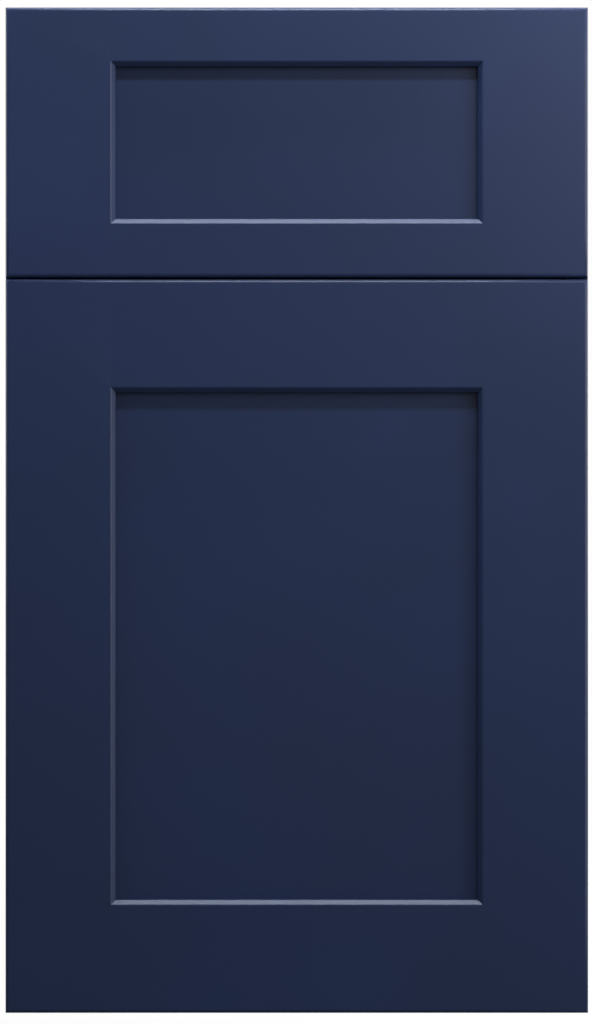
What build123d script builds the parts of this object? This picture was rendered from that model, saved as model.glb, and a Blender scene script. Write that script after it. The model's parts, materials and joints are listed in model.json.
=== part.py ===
from build123d import *
import os

# Wall-hung bathroom vanity cabinet: a frameless case with a drawer over a single door, both with framed
# fronts. X runs to the right seen from the room, +Y into the wall and +Z up. The wall is the plane Y = 0
# and the origin lies midway between the two screw holes of the wall rail. Millimetres throughout.

# ---- Case ----
case_width = 406.0
case_height = 700.0
case_depth = 434.0  # from the wall to the front edge of the case
screw_line_drop = 54.0  # top of the case down to the wall rail's screw holes
board = 18.0
back_board = 8.0
wall_void = 20.0  # hollow behind the back panel, for the wall rail and the pipes
back_groove = 8.0  # depth of the groove that holds the back panel
rail_depth = 80.0  # top rails and divider rail, front to back
edge_band = 1.0
fit = 0.1  # clearance round a board that slides into a groove
hole_fit = 0.05  # radial clearance round a dowel, pin or screw

# ---- Fronts ----
front_thickness = 20.0
front_gap = 3.0  # case to the back of the fronts, set by the bumpers
side_reveal = 1.5
top_reveal = 3.0
bottom_reveal = 1.5
split_gap = 1.2  # between the drawer front and the door
drawer_front_height = 186.8
stile_width = 76.0
door_rail_width = 78.0
drawer_rail_width = 40.5
bevel = 3.0  # sloped inner arris of the frames
arris = 2.8  # rounded outer arris of the frames
panel_recess = 9.0
panel_thickness = 6.0
panel_groove = 9.0
panel_float = 1.0  # room left for the panel at the bottom of its groove
tenon_slack = 0.5  # left past the ends of the rails' tenons

# ---- Shelf and its pins ----
shelf_depth = 280.0
shelf_setback = 10.0
shelf_side_fit = 1.0
pin_radius = 2.5
pin_hole_depth = 12.0
pin_pitch = 32.0
pin_row_margin = 10.0  # hinge plates to the first and last pin hole
pin_reach = 8.0  # out of the side panel, under the shelf
pin_collar = 1.2  # wider than the pin
pin_collar_thickness = 1.0
pin_hole_slack = 1.0  # left below the pin
shelf_front_round = 1.5
pin_front_setback = 37.0
pin_row_spacing = 224.0

# ---- Case joints ----
cam_radius = 7.5
cam_depth = 12.5
cam_setback = 24.0  # cam axis to the end of its board
cam_slot = (1.6, 8.5, 1.0)  # width, length and depth of the cross for the screwdriver
cam_bolt_radius = 3.0
cam_bolt_fit = 0.3
cam_bolt_reach = 25.0  # length past the face of the side panel
cam_bolt_bite = 11.0  # thread length in the side panel
dowel_radius = 4.0
dowel_length = 30.0
dowel_bite = 12.0  # length of the dowel in the side panel
dowel_slack = 0.5  # left at each end of a dowel
dowel_chamfer = 0.8
rail_dowel_inset = 21.0  # from the front edge of a rail
rail_cam_inset = 19.0  # from the rear edge of a rail
bottom_dowel_inset = 50.0  # from the wall and from the front edge
bottom_cam_inset = 90.0  # from the wall and from the front edge

# ---- Pipe cut-out, wall brace and worktop holes ----
pipe_cut_width = 220.0
pipe_cut_height = 180.0
pipe_cut_rise = 250.0  # above the bottom panel
brace_height = 70.0
brace_screw_inset = 65.0  # from the side panels
brace_hole_radius = 3.0
worktop_screw_inset = 55.0  # from the side panels
worktop_hole_radius = 2.5

# ---- Wall rail and hangers ----
steel = 2.0
wall_rail_end_gap = 3.0  # to the side panels
wall_rail_foot = 10.0  # below the screw holes
wall_rail_web_rise = 8.0
wall_rail_lip_height = 14.0
wall_rail_offset = 8.0  # wall to the front of the lip
wall_hole_inset = 32.0  # from the ends of the rail
wall_hole_radius = 4.0
hanger_width = 14.0
hanger_depth = 52.0
hanger_height = 43.0
hook_thickness = 4.0
hook_bar_height = 10.0
hook_tip_thickness = 3.0
hook_tip_drop = 8.0
hook_fit = 0.3
hook_nose = 3.0  # sloped corner of the hook's tip
hook_neck = 4.0  # where the hook narrows behind the back panel
hook_play = 0.5  # tip to the lip of the rail
hook_slot_margin = 2.0  # above and below the hook, in the back panel
hook_slot_side = 1.0
hanger_front_wall = 3.0
hanger_round = 5.0
hanger_screw_rise = 9.0
adjuster_rises = (20.0, 34.0)

# ---- Drawer box ----
slide_space = 12.5  # between the case and the drawer box, each side
drawer_board = 12.0
drawer_front_board = 15.0
drawer_height = 115.0
drawer_lift = 9.0  # divider rail to the bottom of the drawer box
drawer_back_gap = 59.0  # drawer to the back panel
drawer_bottom_board = 6.0
drawer_bottom_rise = 10.0
drawer_groove = 6.0
groove_slack = 0.2  # left at the bottom of the grooves round the drawer's floor
well_width = 140.0  # gap in the drawer round the basin waste
well_depth = 190.0
tail_count = 4
tail_length = 10.0
tail_tip = 18.0
tail_root = 14.0
box_screw_rise = 30.0  # above and below the middle of the box

# ---- Drawer slides ----
slide_setback = 3.0
slide_back_gap = 53.0  # slide to the back panel
slide_rise = 45.0  # bottom of the drawer box to the middle of the slide
slide_steel = 1.2
slide_web_gap = 1.2  # between the webs of the outer and middle members
outer_half = 22.5
outer_lip = 1.6
outer_drawer_gap = 3.0  # outer member's edge to the drawer
outer_round = 0.8
middle_half = 17.3
middle_drawer_gap = 1.5  # middle member's edge to the web of the inner member
middle_windows = (60.0, 130.0, 250.0)
middle_window_radius = 6.0
inner_half = 12.2
inner_web_gap = 1.4  # inner member's edge to the web of the middle member
ball_fit = 0.1
cage_length = 150.0
cage_setback = 100.0
cage_steel = 0.6
cage_width = 4.9
balls_per_row = 7
slide_screw_inset = 18.0  # from the front end of the slide
slide_screw_rear_inset = 32.0

# ---- Door hinges ----
hinge_end_distance = 95.0
cup_radius = 17.5
cup_depth = 13.0
cup_edge_distance = 3.0
cup_flange = 1.0
cup_flange_lip = 1.0
cup_pocket_depth = 12.0
cup_pocket_half = 7.0
cup_pocket_rim = 2.1  # edge of the cup to the pocket, on the hinge side
cup_pocket_wall = 6.9  # pocket to the edge of the cup, on the other side
wing_half_length = 28.0
wing_width = 12.0
wing_round = 4.0
wing_screw_spacing = 45.0
wing_screw_offset = 9.5
pivot_inset = 7.6  # from the edge of the door
pivot_depth = 9.5  # from the back of the door
pivot_pin_radius = 1.25
pin_fit = 0.02  # the pin is tight in the cup and turns in the knuckle
pin_bite = 2.5  # length of the pin in each side of the cup
knuckle_radius = 2.2
arm_half_width = 6.5
arm_steel = 2.2
arm_pocket_gap = 4.0  # arm to the end of the pocket, when the door is shut
arm_cheek = 1.2  # thickness of the arm's folded sides
arm_plate_gap = 1.0  # folded sides to the mounting plate
arm_reach = 52.0  # behind the front edge of the case
plate_setback = 37.0
plate_steel = 1.5
plate_half_height = 24.0
plate_width = 14.0
plate_round = 5.0
spine_half_height = 4.0
spine_length = 40.0
plate_screw_spacing = 32.0
arm_screw_offset = 8.0  # clamp screw behind the middle of the plate

# ---- Bumpers ----
bumper_radius = 4.5
bumper_gap = 0.2
bumper_inset = 12.0  # from the top and bottom edges of the fronts
bumper_side_inset = 8.0
bumper_round = 1.6

# ---- Screws: head radius, head height, shank radius and length of the shank ----
slide_screw = (3.2, 0.9, 1.7, 13.0)
drawer_screw_length = 9.0
plate_screw = (4.0, 1.8, 2.2, 12.0)
cup_screw = (3.4, 1.0, 1.7, 13.0)
arm_screw = (3.2, 1.8, 2.0)  # its length follows from the arm and the plate
box_screw = (4.5, 2.2, 2.0, 27.0)
hanger_screw = (3.6, 1.8, 2.0, 14.0)
adjuster = (3.5, 1.2, 2.6, 9.0)
screw_end_gap = 1.0  # hole left below the tip of a screw

# ---- Places that follow from the sizes ----
half_case = case_width / 2
inner_half_width = half_case - board
case_top = screw_line_drop
case_bottom = case_top - case_height
floor_top = case_bottom + board  # upper face of the bottom panel
case_front = -case_depth
board_front = case_front + edge_band  # front edge of the boards, under the band
back_face = -wall_void - back_board  # room side of the back panel
front_back = case_front - front_gap  # back of the drawer front and door
face_y = front_back - front_thickness
half_front = half_case - side_reveal
fronts_top = case_top - top_reveal
drawer_front_low = fronts_top - drawer_front_height
door_top = drawer_front_low - split_gap
door_low = case_bottom + bottom_reveal
divider_mid = (drawer_front_low + door_top) / 2
divider_top = divider_mid + board / 2
divider_low = divider_mid - board / 2
half_opening = half_front - stile_width
top_rail_low = case_top - board
rear_rail_front = back_face - rail_depth
front_rail_back = board_front + rail_depth
pin_front_y = case_front + pin_front_setback
pin_rear_y = pin_front_y + pin_row_spacing
pipe_low = floor_top + pipe_cut_rise
drawer_low = divider_top + drawer_lift
drawer_top = drawer_low + drawer_height
half_drawer = inner_half_width - slide_space
drawer_inner_y = front_back + drawer_front_board
drawer_rear = back_face - drawer_back_gap
drawer_back_y = drawer_rear - drawer_board
well_half = well_width / 2
well_front_y = drawer_rear - well_depth
slide_mid = drawer_low + slide_rise
slide_front = case_front + slide_setback
slide_rear = back_face - slide_back_gap
slide_screw_rear = slide_rear - slide_screw_rear_inset
slide_screw_front = slide_front + slide_screw_inset
slide_screw_rows = (slide_screw_front, (slide_screw_front + slide_screw_rear) / 2, slide_screw_rear)
outer_flange = slide_space - outer_drawer_gap  # far edges of the flanges, from the side panel
middle_web = slide_steel + slide_web_gap
middle_flange = slide_space - slide_steel - middle_drawer_gap
inner_flange = middle_web + slide_steel + inner_web_gap
hinge_edge = -half_front
pivot_x = hinge_edge + pivot_inset
pivot_y = front_back - pivot_depth
cup_x = hinge_edge + cup_edge_distance + cup_radius
cup_pocket_low = cup_x - cup_radius + cup_pocket_rim
cup_pocket_high = cup_x + cup_radius - cup_pocket_wall
arm_column_x = cup_pocket_high - arm_pocket_gap - arm_steel / 2
hinge_levels = {"upper": door_top - hinge_end_distance, "lower": door_low + hinge_end_distance}
pin_row_low = hinge_levels["lower"] + plate_half_height + pin_row_margin
pin_row_high = hinge_levels["upper"] - plate_half_height - pin_row_margin
pin_holes = int((pin_row_high - pin_row_low) / pin_pitch) + 1
shelf_low = pin_row_low + (pin_holes - 1) // 2 * pin_pitch + pin_radius
plate_y = case_front + plate_setback
arm_screw_y = plate_y + arm_screw_offset
wall_face = -inner_half_width  # inner face of the left side panel
hanger_front = back_face - hanger_depth
lip_top = wall_rail_web_rise + wall_rail_lip_height
rail_web_top = wall_rail_web_rise + steel
hanger_low = lip_top + hook_bar_height + hook_fit - hanger_height
hanger_mid_x = inner_half_width - hanger_width / 2
hanger_screw_level = hanger_low + hanger_screw_rise
adjuster_levels = [hanger_low + rise for rise in adjuster_rises]
half_rail = inner_half_width - wall_rail_end_gap
rear_rail_mid = (rear_rail_front + back_face) / 2
front_rail_mid = (board_front + front_rail_back) / 2

# Each entry: board level, lower face for the cams, cam places and dowel places front to back.
bottom_cams = (case_front + bottom_cam_inset, -bottom_cam_inset)
bottom_dowels = (case_front + bottom_dowel_inset, case_front / 2, -bottom_dowel_inset)
front_cams = (front_rail_back - rail_cam_inset,)
front_dowels = (board_front + rail_dowel_inset,)
rear_cams = (back_face - rail_cam_inset,)
rear_dowels = (rear_rail_front + rail_dowel_inset,)
bottom_joints = (case_bottom + board / 2, case_bottom, bottom_cams, bottom_dowels)
front_rail_joints = (case_top - board / 2, top_rail_low, front_cams, front_dowels)
rear_rail_joints = (case_top - board / 2, top_rail_low, rear_cams, rear_dowels)
divider_joints = (divider_mid, divider_low, front_cams, front_dowels)
case_joints = (bottom_joints, front_rail_joints, rear_rail_joints, divider_joints)

turns = {
    "+x": (0, 90, 0),
    "-x": (0, -90, 0),
    "+y": (-90, 0, 0),
    "-y": (90, 0, 0),
    "+z": (0, 0, 0),
    "-z": (180, 0, 0),
}


# ---- Helpers ----
def block(low, high, mode=Mode.ADD):
    """A box between two opposite corners, in the part being built."""
    middle = tuple((a + b) / 2 for a, b in zip(low, high))
    with Locations(middle):
        Box(*(abs(b - a) for a, b in zip(low, high)), mode=mode)


def rods(points, way, radius, length, mode=Mode.ADD):
    """Cylinders that start at the points and run the given way, in the part being built."""
    seat = (Align.CENTER, Align.CENTER, Align.MIN)
    with Locations(*points):
        Cylinder(radius, length, rotation=turns[way], align=seat, mode=mode)


def place(shape, points, way):
    """Copies of a shape made along +Z, set at the points with its +Z turned the given way."""
    with Locations(*(Location(point, turns[way]) for point in points)):
        add(shape)


def save(piece, name):
    piece.part.label = name
    export_step(piece.part, f"parts/{name}.step")


def mirrored(piece):
    """The same piece for the other side of the cabinet."""
    with BuildPart() as other:
        add(mirror(piece.part, about=Plane.YZ))
    return other


def save_pair(piece, left_name, right_name):
    save(piece, left_name)
    save(mirrored(piece), right_name)


def screw(head_radius, head_height, shank_radius, length):
    """A cross-recess screw with the underside of its head at the origin and its head towards +Z."""
    recess = head_radius * 1.1
    slot = head_radius * 0.28
    depth = head_height * 0.6
    with BuildPart() as made:
        rods([(0, 0, 0)], "+z", head_radius, head_height)
        chamfer(made.edges().group_by(Axis.Z)[-1], head_height * 0.35)
        rods([(0, 0, 0)], "-z", shank_radius, length)
        with Locations((0, 0, head_height - depth / 2)):
            Box(recess, slot, depth, mode=Mode.SUBTRACT)
            Box(slot, recess, depth, mode=Mode.SUBTRACT)
    return made.part


def both_sides(points):
    """The points, and the same points on the other side of the cabinet."""
    return [*points, *((-x, y, z) for x, y, z in points)]


# ---- Case boards ----
def joint_points(x, rows):
    """Points on one side of the cabinet for every joint's cam bolts (rows 2) or dowels (rows 3)."""
    return [(x, y, joint[0]) for joint in case_joints for y in joint[rows]]


def slide_screw_points(x):
    return [(x, y, slide_mid) for y in slide_screw_rows]


def plate_screw_points():
    offsets = (-plate_screw_spacing / 2, plate_screw_spacing / 2)
    return [(wall_face, plate_y, level + offset) for level in hinge_levels.values() for offset in offsets]


def hanger_screw_rows():
    return [hanger_front + hanger_depth * share for share in (0.25, 0.75)]


def side_panel():
    """The left side panel, with its groove, joint holes, pin rows and slide holes, before the hinge holes."""
    pin_levels = [pin_row_low + n * pin_pitch for n in range(pin_holes)]
    pins = [(wall_face, y, z) for y in (pin_front_y, pin_rear_y) for z in pin_levels]
    with BuildPart() as side:
        block((-half_case, board_front, case_bottom), (wall_face, 0, case_top))
        groove_low = (wall_face - back_groove, back_face - fit, floor_top - back_groove)
        block(groove_low, (wall_face, -wall_void + fit, case_top), Mode.SUBTRACT)
        rods(joint_points(wall_face, 2), "-x", cam_bolt_radius + hole_fit, cam_bolt_bite, Mode.SUBTRACT)
        rods(joint_points(wall_face, 3), "-x", dowel_radius + hole_fit, dowel_bite, Mode.SUBTRACT)
        rods(pins, "-x", pin_radius + hole_fit, pin_hole_depth, Mode.SUBTRACT)
        rods(slide_screw_points(wall_face), "-x", slide_screw[2] + hole_fit, slide_screw[3], Mode.SUBTRACT)
        hanger_holes = [(wall_face, y, hanger_screw_level) for y in hanger_screw_rows()]
        rods(hanger_holes, "-x", hanger_screw[2] + hole_fit, hanger_screw[3], Mode.SUBTRACT)
    return side


def bored_board(low, high, joint):
    """A board fixed between the side panels by dowels and cams, with its cam pockets and end holes."""
    level, cam_face, cam_rows, dowel_rows = joint
    reach = cam_setback + cam_radius
    with BuildPart() as made:
        block(low, high)
        cams = both_sides([(-inner_half_width + cam_setback, y, cam_face) for y in cam_rows])
        rods(cams, "+z", cam_radius + hole_fit, cam_depth, Mode.SUBTRACT)
        for way, end in (("+x", -inner_half_width), ("-x", inner_half_width)):
            bolts = [(end, y, level) for y in cam_rows]
            rods(bolts, way, cam_bolt_radius + hole_fit, reach, Mode.SUBTRACT)
            dowels = [(end, y, level) for y in dowel_rows]
            rods(dowels, way, dowel_radius + hole_fit, dowel_length - dowel_bite, Mode.SUBTRACT)
    return made


def case_boards():
    side = side_panel()
    with BuildPart() as side_left:
        add(side.part)
        rods(plate_screw_points(), "-x", plate_screw[2] + hole_fit, plate_screw[3], Mode.SUBTRACT)
    save(side_left, "side_left")
    save(mirrored(side), "side_right")

    low = (-inner_half_width, board_front, case_bottom)
    bottom = bored_board(low, (inner_half_width, 0, floor_top), bottom_joints)
    with BuildPart() as bottom_panel:
        add(bottom.part)
        groove_low = (-inner_half_width, back_face - fit, floor_top - back_groove)
        block(groove_low, (inner_half_width, -wall_void + fit, floor_top), Mode.SUBTRACT)
    save(bottom_panel, "bottom_panel")

    worktop_x = inner_half_width - worktop_screw_inset
    low = (-inner_half_width, board_front, top_rail_low)
    front_rail = bored_board(low, (inner_half_width, front_rail_back, case_top), front_rail_joints)
    low = (-inner_half_width, rear_rail_front, top_rail_low)
    rear_rail = bored_board(low, (inner_half_width, back_face, case_top), rear_rail_joints)
    for name, rail, middle in (
        ("top_front_rail", front_rail, front_rail_mid),
        ("top_rear_rail", rear_rail, rear_rail_mid),
    ):
        with BuildPart() as top_rail:
            add(rail.part)
            holes = both_sides([(worktop_x, middle, top_rail_low)])
            rods(holes, "+z", worktop_hole_radius, board, Mode.SUBTRACT)
        save(top_rail, name)

    low = (-inner_half_width, board_front, divider_low)
    save(bored_board(low, (inner_half_width, front_rail_back, divider_top), divider_joints), "divider_rail")


def back_panel():
    """The grooved-in back, with the pipe cut-out, the hook slots and the lower wall screw holes."""
    half = inner_half_width + back_groove - fit
    slot_half = hook_thickness / 2 + hook_slot_side
    with BuildPart() as back:
        block((-half, back_face, floor_top - back_groove + fit), (half, -wall_void, case_top - fit))
        cut_low = (-pipe_cut_width / 2, back_face, pipe_low)
        block(cut_low, (pipe_cut_width / 2, -wall_void, pipe_low + pipe_cut_height), Mode.SUBTRACT)
        for middle in (-hanger_mid_x, hanger_mid_x):
            slot_low = (middle - slot_half, back_face, lip_top - hook_slot_margin)
            slot_top = lip_top + hook_bar_height + hook_slot_margin
            slot_high = (middle + slot_half, -wall_void, slot_top)
            block(slot_low, slot_high, Mode.SUBTRACT)
        rods(brace_screw_points(back_face), "+y", brace_hole_radius, back_board, Mode.SUBTRACT)
    save(back, "back_panel")


def brace_screw_points(y):
    return both_sides([(inner_half_width - brace_screw_inset, y, floor_top + brace_height / 2)])


def lower_wall_brace():
    with BuildPart() as brace:
        block((-inner_half_width, -wall_void, floor_top), (inner_half_width, 0, floor_top + brace_height))
        rods(brace_screw_points(-wall_void), "+y", brace_hole_radius, wall_void, Mode.SUBTRACT)
    save(brace, "lower_wall_brace")


def edge_bands():
    """Thin bands glued over the front edges of the case boards."""
    with BuildPart() as bands:
        for inner, outer in ((-inner_half_width, -half_case), (inner_half_width, half_case)):
            block((inner, case_front, case_bottom), (outer, board_front, case_top))
        for low, high in (
            (case_bottom, floor_top),
            (divider_low, divider_top),
            (top_rail_low, case_top),
        ):
            block((-inner_half_width, case_front, low), (inner_half_width, board_front, high))
    save(bands, "edge_bands")


def shelf_and_pins():
    half = inner_half_width - shelf_side_fit
    front = case_front + shelf_setback
    with BuildPart() as shelf:
        block((-half, front, shelf_low), (half, front + shelf_depth, shelf_low + board))
        fillet(shelf.edges().filter_by(Axis.X).group_by(Axis.Y)[0], shelf_front_round)
    save(shelf, "shelf")

    level = shelf_low - pin_radius
    end = wall_face - pin_hole_depth + pin_hole_slack
    length = pin_hole_depth - pin_hole_slack + pin_reach
    with BuildPart() as pins:
        for y in (pin_front_y, pin_rear_y):
            for x, way, face in ((end, "+x", wall_face), (-end, "-x", -wall_face)):
                rods([(x, y, level)], way, pin_radius, length)
                rods([(face, y, level)], way, pin_radius + pin_collar, pin_collar_thickness)
        # The collars are flat where the shelf lies on them.
        block((-half_case, case_front, shelf_low), (half_case, 0, shelf_low + board), Mode.SUBTRACT)
    save(pins, "shelf_pins")


# ---- Joint hardware ----
def joint_hardware():
    slot_width, slot_length, slot_depth = cam_slot
    with BuildPart() as cams:
        for level, face, cam_rows, _ in case_joints:
            points = both_sides([(-inner_half_width + cam_setback, y, face) for y in cam_rows])
            rods(points, "+z", cam_radius, cam_depth - fit)
            with Locations(*((x, y, face + slot_depth / 2) for x, y, _ in points)):
                Box(slot_width, slot_length, slot_depth, mode=Mode.SUBTRACT)
                Box(slot_length, slot_width, slot_depth, mode=Mode.SUBTRACT)
            for way, end in (("+x", -inner_half_width), ("-x", inner_half_width)):
                bolts = [(end, y, level) for y in cam_rows]
                reach = cam_bolt_reach + cam_bolt_radius
                rods(bolts, way, cam_bolt_radius + cam_bolt_fit, reach, Mode.SUBTRACT)
    save(cams, "cam_locks")

    bite = cam_bolt_bite - screw_end_gap
    with BuildPart() as bolts:
        start = inner_half_width + bite
        rods(joint_points(-start, 2), "+x", cam_bolt_radius, bite + cam_bolt_reach)
        rods(joint_points(start, 2), "-x", cam_bolt_radius, bite + cam_bolt_reach)
    save(bolts, "cam_bolts")

    with BuildPart() as dowels:
        start = inner_half_width + dowel_bite - dowel_slack
        rods(joint_points(-start, 3), "+x", dowel_radius, dowel_length - 2 * dowel_slack)
        rods(joint_points(start, 3), "-x", dowel_radius, dowel_length - 2 * dowel_slack)
        chamfer(dowels.edges().filter_by(GeomType.CIRCLE), dowel_chamfer)
    save(dowels, "dowels")


# ---- Wall rail and hangers ----
def wall_rail():
    """Bent steel rail: a plate on the wall, a short web and an upright lip that carries the hooks."""
    with BuildPart() as rail:
        with BuildSketch(Plane.YZ.offset(-half_rail)):
            with BuildLine():
                Polyline(
                    (0, -wall_rail_foot),
                    (0, rail_web_top),
                    (-wall_rail_offset + steel, rail_web_top),
                    (-wall_rail_offset + steel, lip_top),
                    (-wall_rail_offset, lip_top),
                    (-wall_rail_offset, wall_rail_web_rise),
                    (-steel, wall_rail_web_rise),
                    (-steel, -wall_rail_foot),
                    close=True,
                )
            make_face()
        extrude(amount=2 * half_rail)
        holes = both_sides([(half_rail - wall_hole_inset, -steel, 0)])
        rods(holes, "+y", wall_hole_radius, steel, Mode.SUBTRACT)
    save(rail, "wall_rail")


def hangers():
    """Hanger housings in the top rear corners, and the hooks that reach through the back to the rail."""
    low = (wall_face, hanger_front, hanger_low)
    high = (wall_face + hanger_width, back_face, hanger_low + hanger_height)
    slot = hook_thickness / 2 + hook_fit
    middle = -hanger_mid_x
    with BuildPart() as housing:
        block(low, high)
        fillet(housing.edges().filter_by(Axis.X).group_by(Axis.Y)[0], hanger_round)
        slot_low = (middle - slot, hanger_front + hanger_front_wall, lip_top - hook_tip_drop - hook_fit)
        block(slot_low, (middle + slot, back_face, lip_top + hook_bar_height + hook_fit), Mode.SUBTRACT)
        holes = [(wall_face, y, hanger_screw_level) for y in hanger_screw_rows()]
        rods(holes, "+x", hanger_screw[2] + hole_fit, hanger_width, Mode.SUBTRACT)
        for level in adjuster_levels:
            rods([(middle, hanger_front, level)], "+y", adjuster[2] + hole_fit, adjuster[3], Mode.SUBTRACT)
    save_pair(housing, "hanger_left", "hanger_right")

    bar_low = lip_top
    bar_high = lip_top + hook_bar_height
    hook_front = hanger_front + adjuster[3] + fit
    tip_front = -wall_rail_offset + steel + hook_play
    tip_back = tip_front + hook_tip_thickness
    with BuildPart() as hooks:
        with BuildSketch(Plane.YZ.offset(middle - hook_thickness / 2)):
            with BuildLine():
                Polyline(
                    (hook_front, bar_low - hook_tip_drop),
                    (back_face - hook_neck, bar_low - hook_tip_drop),
                    (back_face, bar_low),
                    (tip_front, bar_low),
                    (tip_front, bar_low - hook_tip_drop),
                    (tip_back, bar_low - hook_tip_drop),
                    (tip_back, bar_high - hook_nose),
                    (tip_back - hook_nose, bar_high),
                    (hook_front, bar_high),
                    close=True,
                )
            make_face()
        extrude(amount=hook_thickness)
        add(mirror(hooks.part, about=Plane.YZ))
    save(hooks, "hanger_hooks")

    fixing = screw(*hanger_screw[:3], hanger_screw[3] + hanger_width - screw_end_gap)
    turning = screw(*adjuster)
    with BuildPart() as screws:
        for side, way in ((1, "-x"), (-1, "+x")):
            face = side * (inner_half_width - hanger_width)
            place(fixing, [(face, y, hanger_screw_level) for y in hanger_screw_rows()], way)
            place(turning, [(side * hanger_mid_x, hanger_front, level) for level in adjuster_levels], "-y")
    save(screws, "hanger_screws")


# ---- Drawer slides ----
def channel(web_from, web_to, flange_from, flange_to, half):
    """A steel channel along the slide, on the left of the cabinet, from distances off the side panel."""
    with BuildPart() as made:
        low = (wall_face + web_from, slide_front, slide_mid - half)
        block(low, (wall_face + web_to, slide_rear, slide_mid + half))
        for side in (-1, 1):
            near = slide_mid + side * half
            far = near - side * slide_steel
            low = (wall_face + flange_from, slide_front, min(near, far))
            block(low, (wall_face + flange_to, slide_rear, max(near, far)))
    return made


def slide_members():
    shell = channel(0, slide_steel, 0, outer_flange, outer_half)
    with BuildPart() as outer:
        add(shell.part)
        for side in (-1, 1):
            near = slide_mid + side * outer_half
            far = near - side * (slide_steel + outer_lip)
            low = (wall_face + outer_flange - slide_steel, slide_front, min(near, far))
            block(low, (wall_face + outer_flange, slide_rear, max(near, far)))
        fillet(outer.edges().filter_by(Axis.Y).group_by(Axis.Z)[-1], outer_round)
        fillet(outer.edges().filter_by(Axis.Y).group_by(Axis.Z)[0], outer_round)
        rods(slide_screw_points(wall_face), "+x", slide_screw[2] + hole_fit, slide_steel, Mode.SUBTRACT)
    save_pair(outer, "slide_outer_left", "slide_outer_right")

    shell = channel(middle_web, middle_web + slide_steel, middle_web, middle_flange, middle_half)
    with BuildPart() as middle:
        add(shell.part)
        windows = [(wall_face + middle_web, slide_front + setback, slide_mid) for setback in middle_windows]
        rods(windows, "+x", middle_window_radius, slide_steel, Mode.SUBTRACT)
    save_pair(middle, "slide_middle_left", "slide_middle_right")

    web = slide_space - slide_steel
    shell = channel(web, slide_space, inner_flange, slide_space, inner_half)
    with BuildPart() as inner:
        add(shell.part)
        rods(slide_screw_points(wall_face + web), "+x", slide_screw[2] + hole_fit, slide_steel, Mode.SUBTRACT)
    save_pair(inner, "slide_inner_left", "slide_inner_right")


def ball_cages(name, centre, outside, inside):
    """Balls between two members, from the heights of the outer and inner track, with their spacer strips."""
    radius = (outside - inside) / 2 - ball_fit
    height = (outside + inside) / 2
    start = slide_front + cage_setback
    pitch = cage_length / balls_per_row
    with BuildPart() as cages:
        for side in (-1, 1):
            level = slide_mid + side * height
            low = (wall_face + centre - cage_width / 2, start, level - cage_steel / 2)
            block(low, (wall_face + centre + cage_width / 2, start + cage_length, level + cage_steel / 2))
            rows = [start + (n + 0.5) * pitch for n in range(balls_per_row)]
            points = [(wall_face + centre, y, level) for y in rows]
            holes = [(x, y, z - cage_steel) for x, y, z in points]
            rods(holes, "+z", radius + ball_fit, 2 * cage_steel, Mode.SUBTRACT)
            with Locations(*points):
                Sphere(radius)
        add(mirror(cages.part, about=Plane.YZ))
    save(cages, name)


def slide_screws():
    case_screw = screw(*slide_screw[:3], slide_screw[3] + slide_steel - screw_end_gap)
    with BuildPart() as outer:
        for side, way in ((1, "-x"), (-1, "+x")):
            place(case_screw, slide_screw_points(side * (inner_half_width - slide_steel)), way)
    save(outer, "slide_outer_screws")

    drawer_screw = screw(*slide_screw[:3], drawer_screw_length + slide_steel - screw_end_gap)
    with BuildPart() as inner:
        for side, way in ((1, "+x"), (-1, "-x")):
            place(drawer_screw, slide_screw_points(side * (half_drawer + slide_steel)), way)
    save(inner, "slide_inner_screws")


# ---- Drawer box ----
def dovetails(outer):
    """The tails of one drawer side, which run forward into the drawer's front board."""
    pitch = drawer_height / tail_count
    with BuildPart() as tails:
        for n in range(tail_count):
            middle = drawer_low + (n + 0.5) * pitch
            with BuildSketch(Plane.YZ.offset(outer)):
                with BuildLine():
                    Polyline(
                        (drawer_inner_y, middle - tail_root / 2),
                        (drawer_inner_y - tail_length, middle - tail_tip / 2),
                        (drawer_inner_y - tail_length, middle + tail_tip / 2),
                        (drawer_inner_y, middle + tail_root / 2),
                        close=True,
                    )
                make_face()
            extrude(amount=drawer_board)
    return tails.part


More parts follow.
